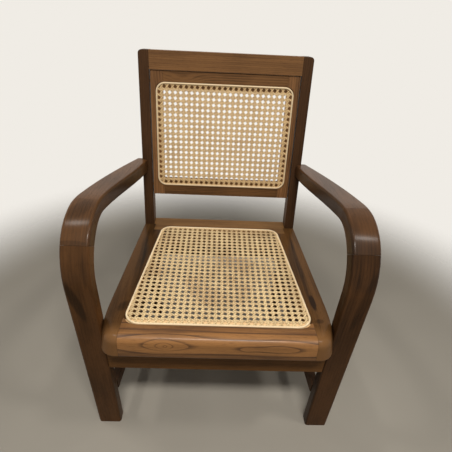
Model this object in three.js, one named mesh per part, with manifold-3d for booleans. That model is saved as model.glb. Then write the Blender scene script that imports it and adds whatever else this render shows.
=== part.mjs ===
// Planters chair in teak, with a cane seat and back panel, and arms that bend down into the front legs.
// Millimetres, +Z up. X runs across the chair and its front faces -Y. The origin lies on the floor,
// under the middle of the chair.

import * as THREE from 'three';
import { mergeGeometries, mergeVertices } from 'three/addons/utils/BufferGeometryUtils.js';
import Module from 'manifold-3d';

const wasm = await Module();
wasm.setup();

// Fits and cuts
const clearance = 0.3; // gap between two touching pieces
const overrun = 5; // how far a cutter runs past the face that it cuts

// Seat
const seatHeight = 400; // floor to the top of the seat frame
const seatThickness = 56;
const seatDepth = 450; // front edge to the back posts
const seatFlare = 31.5; // how far each side runs out from the back posts to the front edge
const seatNoseRadius = 20; // large round on the top of the front edge
const seatUndersideRadius = 6;
const seatCornerRadius = 34;
const seatCornerLean = 10; // how far the top of a front corner is drawn in from its foot
const cornerTurn = THREE.MathUtils.degToRad(74); // how far round a front corner the nose's round goes on
const cornerSteps = 5; // turned copies of the nose that shape one corner
const railFrontWidth = 43; // side rail at its front end, beside the front rail
const railRearWidth = 31; // side rail at its rear end, beside the rear rail
const rearRailDepth = 35; // behind the front faces of the posts

// Back
const postWidth = 26;
const postDepth = 38; // front to back, measured level
const backWidth = 441; // over the outer faces of the posts
const backHeight = 476; // seat to the top of the posts, along the post
const backRecline = THREE.MathUtils.degToRad(6.1);
const postTopRadius = 9;
const topRailHeight = 46;
const topRailThickness = 28;

// Cane panel of the back
const panelGapAbove = 1;
const panelGapSide = 2.4;
const panelHeight = 333.5;
const panelThickness = 20;
const panelSetback = 3; // panel face behind the faces of the posts
const panelStileMargin = 12.5; // wood between the panel's outer edge and the beading
const panelRailMargin = 27;

// Cane, its beading, and the rebate that they lie in
const caneThickness = 1.6;
const caneRebateDepth = 2.2;
const caneLedge = 13; // wood under the edge of the cane
const beadingWidth = 5;
const beadingHeight = 6;
const beadingProud = 2;
const beadingChamfer = 1.2;
const seatCaneFrontMargin = 41; // seat's front edge to the beading
const seatCaneRearMargin = 13; // beading to the back posts
const seatCaneFrontSideMargin = 41.5; // seat's side edge to the beading
const seatCaneRearSideMargin = 53;
const seatCaneFrontRadius = 36;
const seatCaneRearRadius = 33;
const backCaneRadius = 24;
const netPitch = 30;
const netGap = 17;
const netMargin = 7; // closed strip round the edge of the cane

// Arms, elbows and front legs
const armThickness = 34;
const legThickness = 32;
const elbowSwell = 7; // extra thickness half-way round the bend
const legWidth = 57;
const legLean = THREE.MathUtils.degToRad(5.6); // the rear legs lean the same way
const legSetback = 75; // seat's front edge back to the front of a foot
const armSlope = THREE.MathUtils.degToRad(8);
const armHeight = 595; // floor to the top of the arm, at the post
const armEndWidth = 33;
const armLap = 12; // length of arm beside the post
const armEndOverlap = 15; // width of arm in front of the post
const armFlareLength = 343; // stretch over which the arm draws in towards the post
const armOuterFlarePower = 1.5;
const bendReach = 166; // from the corner of the arm's and the leg's outer lines to either end of the bend
const bendEase = 0.4; // how much tighter the bend is at its middle: zero gives a round arc
const bendSteps = 60;
const armJointShare = 0.1; // share of the bend that belongs to the armrest
const elbowJointShare = 0.58; // share at which the elbow ends and the leg begins
const armEdgeRadius = 6;
const edgeSteps = 3;
const curveSteps = 6; // straight parts that stand for one round corner of an outline

// Aprons, stretchers and blocks
const frontApronHeight = 96;
const frontApronThickness = 22;
const apronRecess = 1;
const sideApronHeight = 70;
const sideApronThickness = 18;
const sideApronInset = 6; // seat's side edge to the apron
const rearApronHeight = 64;
const rearApronThickness = 22;
const housingDepth = 3; // how deep a stretcher lets the post in
const stretcherHeight = 32;
const stretcherThickness = 18;
const stretcherBottom = 116;
const blockLength = 50;
const blockHeight = 22;

// Joinery
const tenonLength = 18;
const tenonThickness = 10;
const tenonShoulder = 7;
const postTenonLength = 17;
const apronTenonLength = 10;
const seatTenonLength = 12;
const looseTenonWidth = 34;
const looseTenonLength = 44;
const looseTenonThickness = 9;
const dowelRadius = 4;
const dowelDepth = 14;
const dowelSides = 12;
const screwShankRadius = 2.2;
const screwHeadRadius = 4.4;
const screwHeadHeight = 2.6;
const screwLength = 36;
const screwTipLength = 5;
const screwSides = 10;
const screwRecess = 1;
const postScrewShare = 0.5; // place of a stretcher's screw in the depth of the post
const armScrewShare = 0.3; // place of an arm's screw in the lap beside the post

// Places that follow from the sizes above
const reclineRun = Math.tan(backRecline);
const leanRun = Math.tan(legLean);
const backTopRise = backHeight * Math.cos(backRecline);
const backTopRun = backHeight * Math.sin(backRecline);
const overallDepth = seatDepth + backTopRun + postDepth * Math.cos(backRecline) ** 2;
const seatFront = -overallDepth / 2;
const postFront = seatFront + seatDepth;
const seatBottom = seatHeight - seatThickness;
const postOuter = backWidth / 2;
const seatFrontWidth = backWidth + 2 * seatFlare;
const postInner = postOuter - postWidth;
const footFront = seatFront + legSetback;
const legInner = seatHalfWidth(legFrontLine(seatHeight)) + clearance;
const legOuter = legInner + legWidth;
const panelTop = backHeight - topRailHeight - panelGapAbove;
const panelBottom = panelTop - panelHeight;
const panelHalfWidth = postInner - panelGapSide;
const backCaneHalfWidth = panelHalfWidth - panelStileMargin;
const backCaneTop = panelTop - panelRailMargin;
const backCaneBottom = panelBottom + panelRailMargin;
const seatCaneFront = seatFront + seatCaneFrontMargin;
const seatCaneRear = postFront - seatCaneRearMargin;
const frameLedge = beadingWidth + caneLedge;

// Finishes
const teak = finish(0x5a3a22, 0.42);
const teakDark = finish(0x4a2e1b, 0.45);
const teakLight = finish(0x7a4f2c, 0.4);
const cane = finish(0xd8b98a, 0.6);
const palecane = finish(0xe3c9a0, 0.5);
const steel = finish(0x8a8d90, 0.35, 0.9);

const chair = new THREE.Group();
const back = new THREE.Group();
back.position.set(0, postFront, seatHeight);
back.rotation.x = -backRecline;
chair.add(back);
back.updateMatrix();

function finish(color, roughness, metalness = 0) {
  return new THREE.MeshStandardMaterial({ color, roughness, metalness });
}

// Solids

function solidOf(geometry) {
  geometry.deleteAttribute('normal');
  geometry.deleteAttribute('uv');
  const merged = mergeVertices(geometry);
  return new wasm.Manifold(
    new wasm.Mesh({
      numProp: 3,
      vertProperties: new Float32Array(merged.attributes.position.array),
      triVerts: new Uint32Array(merged.index.array),
    }),
  );
}

function geometryOf(solid) {
  const mesh = solid.getMesh();
  const geometry = new THREE.BufferGeometry();
  geometry.setAttribute('position', new THREE.BufferAttribute(new Float32Array(mesh.vertProperties), 3));
  geometry.setIndex(new THREE.BufferAttribute(new Uint32Array(mesh.triVerts), 1));
  geometry.computeVertexNormals();
  return geometry;
}

function addPiece(name, solid, material, parent = chair) {
  const mesh = new THREE.Mesh(geometryOf(solid), material);
  mesh.name = name;
  parent.add(mesh);
}

// A block between two corners
function block(lowX, highX, lowY, highY, lowZ, highZ) {
  const geometry = new THREE.BoxGeometry(highX - lowX, highY - lowY, highZ - lowZ);
  geometry.translate((lowX + highX) / 2, (lowY + highY) / 2, (lowZ + highZ) / 2);
  return solidOf(geometry);
}

// A shape drawn in Y and Z, made solid from one X to another
function slabAcross(shape, lowX, highX) {
  const geometry = extruded(shape, highX - lowX);
  const turn = new THREE.Matrix4().set(0, 0, 1, lowX, 1, 0, 0, 0, 0, 1, 0, 0, 0, 0, 0, 1);
  return solidOf(geometry.applyMatrix4(turn));
}

// A shape drawn in X and Y, made solid from one height to another
function slabUp(shape, lowZ, highZ) {
  return solidOf(extruded(shape, highZ - lowZ).translate(0, 0, lowZ));
}

// A shape drawn in X and Z, made solid from one Y to another
function slabBack(shape, nearY, farY) {
  return movedSolid(extruded(shape, farY - nearY), standUp(farY));
}

function extruded(shape, depth) {
  return new THREE.ExtrudeGeometry(shape, { depth, bevelEnabled: false, curveSegments: curveSteps });
}

function standUp(farY) {
  return new THREE.Matrix4().makeRotationX(Math.PI / 2).setPosition(0, farY, 0);
}

function polygon(points) {
  return new THREE.Shape(points.map(([across, up]) => new THREE.Vector2(across, up)));
}

function movedSolid(geometry, matrix) {
  return solidOf(geometry.applyMatrix4(matrix));
}

// A rod with round section, from one point along a unit direction
function rod(radius, length, start, direction, sides) {
  const geometry = new THREE.CylinderGeometry(radius, radius, length, sides);
  geometry.translate(0, length / 2, 0);
  return movedSolid(geometry, aim(start, direction));
}

function aim(start, direction) {
  const turn = new THREE.Quaternion().setFromUnitVectors(new THREE.Vector3(0, 1, 0), direction);
  return new THREE.Matrix4().compose(start, turn, new THREE.Vector3(1, 1, 1));
}

// A solid skinned over rings of points, flat at both ends
function loft(rings) {
  const count = rings[0].length;
  const positions = rings.flat().flatMap((point) => [point.x, point.y, point.z]);
  const faces = [];
  for (let ring = 0; ring + 1 < rings.length; ring += 1) {
    for (let index = 0; index < count; index += 1) {
      const here = ring * count + index;
      const next = ring * count + ((index + 1) % count);
      faces.push(here, next, next + count, here, next + count, here + count);
    }
  }
  const last = (rings.length - 1) * count;
  for (let index = 1; index + 1 < count; index += 1) {
    faces.push(0, index + 1, index);
    faces.push(last, last + index, last + index + 1);
  }
  const geometry = new THREE.BufferGeometry();
  geometry.setAttribute('position', new THREE.Float32BufferAttribute(positions, 3));
  geometry.setIndex(signedVolume(positions, faces) > 0 ? faces : faces.toReversed());
  return solidOf(geometry);
}

function signedVolume(positions, faces) {
  const corner = (index) => new THREE.Vector3().fromArray(positions, index * 3);
  let volume = 0;
  for (let index = 0; index < faces.length; index += 3) {
    const [a, b, c] = [corner(faces[index]), corner(faces[index + 1]), corner(faces[index + 2])];
    volume += a.dot(b.cross(c));
  }
  return volume;
}

// Outline with straight sides that may draw in, and round corners
function roundedOutline(lowHalf, highHalf, low, high, lowRadius, highRadius) {
  const lean = (lowHalf - highHalf) / (high - low);
  const shape = new THREE.Shape();
  shape.moveTo(-lowHalf + lowRadius, low);
  shape.lineTo(lowHalf - lowRadius, low);
  shape.quadraticCurveTo(lowHalf, low, lowHalf - lean * lowRadius, low + lowRadius);
  shape.lineTo(highHalf + lean * highRadius, high - highRadius);
  shape.quadraticCurveTo(highHalf, high, highHalf - highRadius, high);
  shape.lineTo(-highHalf + highRadius, high);
  shape.quadraticCurveTo(-highHalf, high, -highHalf - lean * highRadius, high - highRadius);
  shape.lineTo(-lowHalf + lean * lowRadius, low + lowRadius);
  shape.quadraticCurveTo(-lowHalf, low, -lowHalf + lowRadius, low);
  return shape;
}

const seatCaneSize = [
  seatHalfWidth(seatCaneFront) - seatCaneFrontSideMargin,
  seatHalfWidth(seatCaneRear) - seatCaneRearSideMargin,
  seatCaneFront,
  seatCaneRear,
  seatCaneFrontRadius,
  seatCaneRearRadius,
];
const backCaneSize = [
  backCaneHalfWidth,
  backCaneHalfWidth,
  backCaneBottom,
  backCaneTop,
  backCaneRadius,
  backCaneRadius,
];

// The cane's outline, drawn in from the outer edge of the beading
function caneOutline(size, inset) {
  const [lowHalf, highHalf, low, high, lowRadius, highRadius] = size;
  return roundedOutline(
    lowHalf - inset,
    highHalf - inset,
    low + inset,
    high - inset,
    lowRadius - inset,
    highRadius - inset,
  );
}

// Fasteners and loose pieces

function dowel(name, start, direction, length, parent) {
  addPiece(name, rod(dowelRadius, length, start, direction, dowelSides), teakLight, parent);
}

function dowelHole(start, direction, length) {
  const entry = start.clone().addScaledVector(direction, -clearance);
  return rod(dowelRadius + clearance, length + 2 * clearance, entry, direction, dowelSides);
}

function screwProfile(grow, tail) {
  const shank = screwShankRadius + grow;
  const head = screwHeadRadius + grow;
  return [
    new THREE.Vector2(0, -tail),
    new THREE.Vector2(head, -tail),
    new THREE.Vector2(head, grow),
    new THREE.Vector2(shank, screwHeadHeight + grow),
    new THREE.Vector2(shank, screwLength - screwTipLength + grow),
    new THREE.Vector2(0, screwLength + grow),
  ];
}

function screwSolid(start, direction, grow, tail) {
  const geometry = new THREE.LatheGeometry(screwProfile(grow, tail), screwSides);
  return movedSolid(geometry, aim(start, direction));
}

function screw(name, start, direction) {
  addPiece(name, screwSolid(start, direction, 0, clearance), steel);
}

function screwHole(start, direction) {
  return screwSolid(start, direction, clearance, screwRecess + overrun);
}

// Back posts, which run down into the rear legs

function postLine(z) {
  return z > seatHeight ? postFront + (z - seatHeight) * reclineRun : postFront + (seatHeight - z) * leanRun;
}

function postSolid(side, grow) {
  const top = seatHeight + backTopRise;
  const topFront = postFront + backTopRun;
  const topDrop = postDepth * Math.cos(backRecline) * Math.sin(backRecline);
  const outline = polygon([
    [postLine(0) - grow, -grow],
    [postFront - grow, seatHeight],
    [topFront - grow, top + grow],
    [topFront + postDepth * Math.cos(backRecline) ** 2 + grow, top - topDrop + grow],
    [postFront + postDepth + grow, seatHeight],
    [postLine(0) + postDepth + grow, -grow],
  ]);
  const edges = [side * (postInner - grow), side * (postOuter + grow)].sort((a, b) => a - b);
  return slabAcross(outline, edges[0], edges[1]);
}

// What is taken off the outer top corner of a post, in the leaning frame of the back
function postCornerCutter(side) {
  const shape = new THREE.Shape();
  const centre = postOuter - postTopRadius;
  const centreHeight = backHeight - postTopRadius;
  shape.moveTo(centre, backHeight);
  shape.absarc(centre, centreHeight, postTopRadius, Math.PI / 2, 0, true);
  shape.lineTo(postOuter + overrun, centreHeight);
  shape.lineTo(postOuter + overrun, backHeight + overrun);
  shape.lineTo(centre, backHeight + overrun);
  const geometry = extruded(shape, postDepth + 2 * overrun);
  geometry.applyMatrix4(standUp(postDepth + overrun));
  if (side < 0) {
    geometry.rotateZ(Math.PI);
    geometry.translate(0, postDepth, 0);
  }
  return movedSolid(geometry, back.matrix);
}

function inBack(geometry) {
  return movedSolid(geometry, back.matrix);
}

function blockGeometry(lowX, highX, lowY, highY, lowZ, highZ) {
  const geometry = new THREE.BoxGeometry(highX - lowX, highY - lowY, highZ - lowZ);
  return geometry.translate((lowX + highX) / 2, (lowY + highY) / 2, (lowZ + highZ) / 2);
}

function outward(side, near, far) {
  return side > 0 ? [near, far] : [-far, -near];
}

function topRailTenon(side, grow) {
  const [low, high] = outward(side, postInner - overrun, postInner + postTenonLength + grow);
  const middle = topRailThickness / 2;
  return blockGeometry(
    low,
    high,
    middle - tenonThickness / 2 - grow,
    middle + tenonThickness / 2 + grow,
    backHeight - topRailHeight + tenonShoulder - grow,
    backHeight - 2 * tenonShoulder + grow,
  );
}

function rearApronTenon(side, grow) {
  const top = seatBottom - clearance - tenonShoulder;
  const bottom = seatBottom - rearApronHeight + tenonShoulder;
  const middle = rearApronMiddle();
  const [low, high] = outward(side, postInner - overrun, postInner + postTenonLength + grow);
  const half = tenonThickness / 2 + grow;
  return block(low, high, middle - half, middle + half, bottom - grow, top + grow);
}

function rearApronMiddle() {
  return postLine(seatBottom - rearApronHeight / 2) + postDepth / 2;
}

const panelDowelHeights = [panelBottom + panelRailMargin, panelTop - panelRailMargin];

function panelDowelStart(side, height) {
  const depth = panelSetback + panelThickness / 2;
  return new THREE.Vector3(side * (panelHalfWidth - dowelDepth + clearance), depth, height);
}

function panelDowelLength() {
  return 2 * dowelDepth + panelGapSide - 2 * clearance;
}

function panelDowelHole(side, height, matrix) {
  const start = panelDowelStart(side, height);
  const along = new THREE.Vector3(side, 0, 0);
  const geometry = new THREE.CylinderGeometry(
    dowelRadius + clearance,
    dowelRadius + clearance,
    panelDowelLength() + 2 * clearance,
    dowelSides,
  );
  geometry.translate(0, panelDowelLength() / 2, 0);
  geometry.applyMatrix4(aim(start, along));
  return movedSolid(geometry, matrix);
}

function addPost(side, sideName) {
  let solid = postSolid(side, 0).subtract(postCornerCutter(side));
  solid = solid.subtract(inBack(topRailTenon(side, clearance)));
  solid = solid.subtract(rearApronTenon(side, clearance));
  for (const height of panelDowelHeights) {
    solid = solid.subtract(panelDowelHole(side, height, back.matrix));
  }
  for (const place of [stretcherScrewPlace(side), armScrewPlace(side)]) {
    solid = solid.subtract(screwHole(place.start, place.direction));
  }
  solid = solid.subtract(sideApronRearTenon(side, clearance)).subtract(seatDowelHole(side));
  addPiece(`back_post_${sideName}`, solid, teak);
}

function addTopRail() {
  const half = postInner - clearance;
  const top = backHeight;
  let solid = block(-half, half, 0, topRailThickness, top - topRailHeight, top);
  for (const side of [-1, 1]) {
    solid = solid.add(solidOf(topRailTenon(side, 0)));
  }
  addPiece('back_top_rail', solid, teak, back);
}

// Cane panel of the back

function panelCutter() {
  const grooveFloor = panelSetback + beadingHeight - beadingProud;
  const groove = slabBack(caneOutline(backCaneSize, 0), panelSetback - overrun, grooveFloor);
  const core = slabBack(caneOutline(backCaneSize, beadingWidth), panelSetback - 2 * overrun, panelThickness);
  const rebate = slabBack(
    caneOutline(backCaneSize, beadingWidth - clearance),
    panelSetback - overrun,
    panelSetback + caneRebateDepth,
  );
  return groove.subtract(core).add(rebate);
}

function panelTenon(side, low, high, grow) {
  const middle = panelSetback + panelThickness / 2 + beadingProud;
  const half = tenonThickness / 2 + grow;
  const inner = panelHalfWidth - panelStileMargin - frameLedge;
  const [lowX, highX] = outward(side, inner - overrun, inner + tenonLength - tenonShoulder + grow);
  const inset = tenonShoulder - grow;
  return block(lowX, highX, middle - half, middle + half, low + inset, high - inset);
}

function addPanel() {
  const inner = backCaneHalfWidth - frameLedge;
  const railHeight = panelRailMargin + frameLedge;
  const face = panelSetback;
  const rear = panelSetback + panelThickness;
  const cutter = panelCutter();
  const rails = [
    ['back_panel_top_rail', panelTop - railHeight, panelTop],
    ['back_panel_bottom_rail', panelBottom, panelBottom + railHeight],
  ];
  for (const [name, low, high] of rails) {
    let solid = block(-inner + clearance, inner - clearance, face, rear, low, high).subtract(cutter);
    solid = solid.add(panelTenon(-1, low, high, 0)).add(panelTenon(1, low, high, 0));
    addPiece(name, solid, teak, back);
  }
  for (const [side, sideName] of sides) {
    const [lowX, highX] = outward(side, inner, panelHalfWidth);
    let solid = block(lowX, highX, face, rear, panelBottom, panelTop).subtract(cutter);
    for (const [, low, high] of rails) {
      solid = solid.subtract(panelTenon(side, low, high, clearance));
    }
    for (const [index, height] of panelDowelHeights.entries()) {
      solid = solid.subtract(panelDowelHole(side, height, new THREE.Matrix4()));
      const name = `panel_dowel_${sideName}_${index + 1}`;
      dowel(name, panelDowelStart(side, height), new THREE.Vector3(side, 0, 0), panelDowelLength(), back);
    }
    addPiece(`back_panel_stile_${sideName}`, solid, teak, back);
  }
}

// Cane sheets, as a flat net, and the beading round them

// A flat net that lies in X and Y from zero to the cane's thickness, then moved
function netSolid(size, matrix) {
  const sheet = extruded(caneOutline(size, beadingWidth), caneThickness);
  return movedSolid(sheet, matrix).subtract(movedSolid(mergeGeometries(netGaps(size)), matrix));
}

function netGaps(size) {
  const [lowHalf, highHalf, low, high] = size;
  const closed = beadingWidth + clearance + netMargin;
  const rows = Math.floor((high - low - 2 * closed) / netPitch);
  const gaps = [];
  for (let row = 0; row < rows; row += 1) {
    const level = (low + high) / 2 + (row - (rows - 1) / 2) * netPitch;
    const half = THREE.MathUtils.mapLinear(level, low, high, lowHalf, highHalf) - closed;
    const columns = Math.floor((2 * half) / netPitch);
    // The first and last row leave their corner gaps out, where the outline is round
    const skipped = row === 0 || row === rows - 1 ? 1 : 0;
    for (let column = skipped; column < columns - skipped; column += 1) {
      const across = (column - (columns - 1) / 2) * netPitch;
      const gap = new THREE.BoxGeometry(netGap, netGap, caneThickness + 2 * overrun);
      gaps.push(gap.translate(across, level, caneThickness / 2));
    }
  }
  return gaps;
}

function beadingGeometry(size) {
  const shape = caneOutline(size, clearance + beadingChamfer);
  shape.holes.push(caneOutline(size, beadingWidth - clearance - beadingChamfer));
  return new THREE.ExtrudeGeometry(shape, {
    depth: beadingHeight - clearance - 2 * beadingChamfer,
    bevelThickness: beadingChamfer,
    bevelSize: beadingChamfer,
    bevelSegments: 1,
    curveSegments: curveSteps,
  }).translate(0, 0, beadingChamfer);
}

function addCane() {
  const netTop = caneRebateDepth - clearance;
  addPiece('back_cane', netSolid(backCaneSize, standUp(panelSetback + netTop)), cane, back);
  const backBeading = beadingGeometry(backCaneSize);
  backBeading.applyMatrix4(standUp(panelSetback + beadingHeight - beadingProud - clearance));
  addPiece('back_cane_beading', solidOf(backBeading), palecane, back);
  const seatNetPlace = new THREE.Matrix4().makeTranslation(0, 0, seatHeight - netTop);
  addPiece('seat_cane', netSolid(seatCaneSize, seatNetPlace), cane);
  const seatBeading = beadingGeometry(seatCaneSize);
  seatBeading.translate(0, 0, seatHeight + beadingProud - beadingHeight + clearance);
  addPiece('seat_cane_beading', solidOf(seatBeading), palecane);
}

// Seat frame

function seatHalfWidth(y) {
  return THREE.MathUtils.mapLinear(y, seatFront, postFront, seatFrontWidth / 2, postOuter);
}

function caneHalfWidth(y) {
  return THREE.MathUtils.mapLinear(y, seatCaneFront, seatCaneRear, seatCaneSize[0], seatCaneSize[1]);
}

// The block of wood that the whole seat frame is cut from. The large round of its nose goes on round both
// front corners and dies out along the sides.
function seatEnvelope() {
  const rear = postFront + rearRailDepth;
  const halves = [seatFrontWidth / 2, seatHalfWidth(rear)];
  const plan = roundedOutline(...halves, seatFront, rear, seatCornerRadius, clearance);
  let envelope = slabUp(plan, seatBottom, seatHeight).intersect(noseSolid(0));
  for (const [side] of sides) {
    const centre = [side * (seatFrontWidth / 2 - seatCornerRadius), seatFront + seatCornerRadius, 0];
    for (let step = 1; step <= cornerSteps; step += 1) {
      const share = step / cornerSteps;
      const nose = noseSolid(seatCornerLean * share).translate(centre.map((value) => -value));
      const turn = side * THREE.MathUtils.radToDeg(cornerTurn * share);
      envelope = envelope.intersect(nose.rotate([0, 0, turn]).translate(centre));
    }
  }
  return envelope;
}

// A wide block with the nose along its front, whose top may be drawn in
function noseSolid(lean) {
  const reach = seatFrontWidth + seatDepth;
  const rear = seatFront + reach;
  const leanAt = (z) => (lean * (z - seatBottom)) / seatThickness;
  const roundTop = seatHeight - seatNoseRadius;
  const roundFoot = seatBottom + seatUndersideRadius;
  const profile = new THREE.Shape();
  profile.moveTo(rear, seatBottom);
  profile.lineTo(rear, seatHeight);
  profile.lineTo(seatFront + lean + seatNoseRadius, seatHeight);
  profile.quadraticCurveTo(seatFront + lean, seatHeight, seatFront + leanAt(roundTop), roundTop);
  profile.lineTo(seatFront + leanAt(roundFoot), roundFoot);
  profile.quadraticCurveTo(seatFront, seatBottom, seatFront + seatUndersideRadius, seatBottom);
  return slabAcross(profile, -reach, reach);
}

function seatCutter() {
  const floor = seatHeight - beadingHeight + beadingProud;
  const groove = slabUp(caneOutline(seatCaneSize, 0), floor, seatHeight + overrun);
  const core = slabUp(caneOutline(seatCaneSize, beadingWidth), seatBottom, seatHeight + 2 * overrun);
  const rebateOutline = caneOutline(seatCaneSize, beadingWidth - clearance);
  const rebate = slabUp(rebateOutline, seatHeight - caneRebateDepth, seatHeight + overrun);
  return groove.subtract(core).add(rebate);
}

const frontRailRear = seatCaneFront + frameLedge;
const rearRailFront = seatCaneRear - frameLedge;

// Inner face of a side rail beside the front rail and the rear rail
function railEnd(y) {
  return seatHalfWidth(y) - THREE.MathUtils.mapLinear(y, seatFront, postFront, railFrontWidth, railRearWidth);
}

function mirrored(side, points) {
  return polygon(points.map(([x, y]) => [side * x, y]));
}

// A side rail is wider between the two cross rails, where it carries the edge of the cane
function sideRailPlan(side) {
  const near = seatFront - overrun;
  const far = postFront - clearance;
  const ledgeNear = frontRailRear + clearance;
  const ledgeFar = rearRailFront - clearance;
  return mirrored(side, [
    [railEnd(near), near],
    [seatFrontWidth, near],
    [seatFrontWidth, far],
    [railEnd(far), far],
    [railEnd(ledgeFar), ledgeFar],
    [caneHalfWidth(ledgeFar) - frameLedge, ledgeFar],
    [caneHalfWidth(ledgeNear) - frameLedge, ledgeNear],
    [railEnd(ledgeNear), ledgeNear],
  ]);
}

const seatMiddle = seatHeight - seatThickness / 2;

// Tenon of the front or the rear rail in an outer side rail
function crossRailTenon(side, lowY, highY, grow) {
  const [lowX, highX] = outward(side, railEnd(highY) - overrun, railEnd(highY) + seatTenonLength + grow);
  const half = tenonThickness / 2 + grow;
  const near = lowY + tenonShoulder - grow;
  return block(lowX, highX, near, highY - tenonShoulder + grow, seatMiddle - half, seatMiddle + half);
}

function frontRailTenon(side, grow) {
  return crossRailTenon(side, seatFront + seatNoseRadius, frontRailRear, grow);
}

function rearRailTenon(side, grow) {
  return crossRailTenon(side, rearRailFront, postFront, grow);
}

function addSeatFrame() {
  const envelope = seatEnvelope();
  const cutter = seatCutter();
  for (const [side, sideName] of sides) {
    let rail = slabUp(sideRailPlan(side), seatBottom, seatHeight).intersect(envelope).subtract(cutter);
    rail = rail.subtract(frontRailTenon(side, clearance)).subtract(rearRailTenon(side, clearance));
    rail = rail.subtract(seatDowelHole(side)).subtract(legDowelHole(side));
    const place = blockScrewPlace(side, 'front');
    rail = rail.subtract(screwHole(place.start, place.direction));
    addPiece(`seat_side_rail_${sideName}`, rail, teak);
  }
  addPiece('seat_front_rail', frontRailSolid(envelope, cutter), teakLight);
  addPiece('seat_rear_rail', rearRailSolid(cutter), teak);
}

function frontRailSolid(envelope, cutter) {
  const near = seatFront - overrun;
  const plan = polygon([
    [clearance - railEnd(near), near],
    [railEnd(near) - clearance, near],
    [railEnd(frontRailRear) - clearance, frontRailRear],
    [clearance - railEnd(frontRailRear), frontRailRear],
  ]);
  let solid = slabUp(plan, seatBottom, seatHeight).intersect(envelope).subtract(cutter);
  for (const [side] of sides) {
    solid = solid.add(frontRailTenon(side, 0));
  }
  return solid;
}

function rearRailSolid(cutter) {
  const betweenPosts = postInner - clearance;
  const rear = postFront + rearRailDepth;
  const shoulder = postFront + clearance;
  const nearHalf = (y) => railEnd(y) - clearance;
  const plan = polygon([
    [-nearHalf(rearRailFront), rearRailFront],
    [nearHalf(rearRailFront), rearRailFront],
    [nearHalf(shoulder), shoulder],
    [betweenPosts, shoulder],
    [betweenPosts, rear],
    [-betweenPosts, rear],
    [-betweenPosts, shoulder],
    [-nearHalf(shoulder), shoulder],
  ]);
  let solid = slabUp(plan, seatBottom, seatHeight).subtract(cutter);
  for (const [side] of sides) {
    const place = blockScrewPlace(side, 'rear');
    solid = solid.add(rearRailTenon(side, 0)).subtract(screwHole(place.start, place.direction));
  }
  return solid;
}

// Dowels that hold the side rails to the posts and to the front legs

function seatDowelPlace(side) {
  const start = new THREE.Vector3(side * (postInner + postOuter) / 2, postFront - dowelDepth, seatMiddle);
  const gapBehind = postLine(seatMiddle) - postFront;
  return { start, direction: new THREE.Vector3(0, 1, 0), length: 2 * dowelDepth + gapBehind };
}

function legDowelPlace(side) {
  const y = (legFrontLine(seatMiddle) + legRearLine(seatMiddle)) / 2;
  const start = new THREE.Vector3(side * (legInner - dowelDepth), y, seatMiddle);
  return { start, direction: new THREE.Vector3(side, 0, 0), length: 2 * dowelDepth };
}

function seatDowelHole(side) {
  const place = seatDowelPlace(side);
  return dowelHole(place.start, place.direction, place.length);
}

function legDowelHole(side) {
  const place = legDowelPlace(side);
  return dowelHole(place.start, place.direction, place.length);
}

function addSeatDowels(side, sideName) {
  const rear = seatDowelPlace(side);
  dowel(`seat_dowel_${sideName}`, rear.start, rear.direction, rear.length, chair);
  const front = legDowelPlace(side);
  dowel(`leg_dowel_${sideName}`, front.start, front.direction, front.length, chair);
}

// Arms, elbows and front legs: one board that bends, in three pieces

const armDirection = new THREE.Vector2(Math.cos(armSlope), -Math.sin(armSlope));
const legDirection = new THREE.Vector2(Math.sin(legLean), -Math.cos(legLean));
const armEnd = new THREE.Vector2(postLine(armHeight), armHeight);
const bendAngle = Math.PI / 2 + armSlope + legLean;
const bendStart = findBendStart();
const bendLength = findBendLength();

// The arm's top line and the leg's front line meet at a corner that the bend rounds off
function findBendStart() {
  const armRise = Math.tan(armSlope);
  const cornerY = (footFront - leanRun * (armEnd.y + armEnd.x * armRise)) / (1 - leanRun * armRise);
  const cornerZ = armEnd.y + (armEnd.x - cornerY) * armRise;
  return new THREE.Vector2(cornerY, cornerZ).addScaledVector(armDirection, bendReach);
}

// The turn is slow at both ends of the bend and faster between them
function bendTurn(share) {
  return bendAngle * (share - (bendEase * Math.sin(2 * Math.PI * share)) / (2 * Math.PI));
}

// The chord of the bend closes a triangle with the arm's line and the leg's line
function findBendLength() {
  let chordShare = 0;
  for (let step = 0; step < bendSteps; step += 1) {
    chordShare += Math.cos(bendTurn((step + 0.5) / bendSteps) - bendAngle / 2) / bendSteps;
  }
  return (2 * bendReach * Math.cos(bendAngle / 2)) / chordShare;
}

function bendPoint(share) {
  const point = bendStart.clone();
  for (let step = 0; step < bendSteps; step += 1) {
    const normal = bendNormal(bendTurn((share * (step + 0.5)) / bendSteps));
    const onward = new THREE.Vector2(-normal.y, normal.x);
    point.addScaledVector(onward, (bendLength * share) / bendSteps);
  }
  return point;
}

function bendNormal(angle) {
  const turned = Math.PI / 2 - armSlope + angle;
  return new THREE.Vector2(Math.cos(turned), Math.sin(turned));
}

// Stations give a point on the outer face, in Y and Z, the direction out of that face and the thickness
function armStation(distance) {
  const point = bendStart.clone().addScaledVector(armDirection, distance);
  return { point, normal: bendNormal(0), thickness: armThickness };
}

function bendStation(share) {
  const normal = bendNormal(bendTurn(share));
  const swell = elbowSwell * Math.sin(Math.PI * share) ** 2;
  const thickness = THREE.MathUtils.lerp(armThickness, legThickness, share) + swell;
  return { point: bendPoint(share), normal, thickness };
}

function legStation(distance) {
  const { point, normal, thickness } = bendStation(1);
  return { point: point.addScaledVector(legDirection, distance), normal, thickness };
}

function armEdges(y) {
  const share = THREE.MathUtils.clamp((y - armEnd.x + armFlareLength) / (armFlareLength + armLap), 0, 1);
  const innerEnd = postOuter - armEndOverlap;
  const outerEnd = innerEnd + armEndWidth;
  const inner = legInner - (legInner - innerEnd) * THREE.MathUtils.smoothstep(share, 0, 1);
  const outer = legOuter - (legOuter - outerEnd) * share ** armOuterFlarePower;
  return [inner, outer];
}

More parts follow.
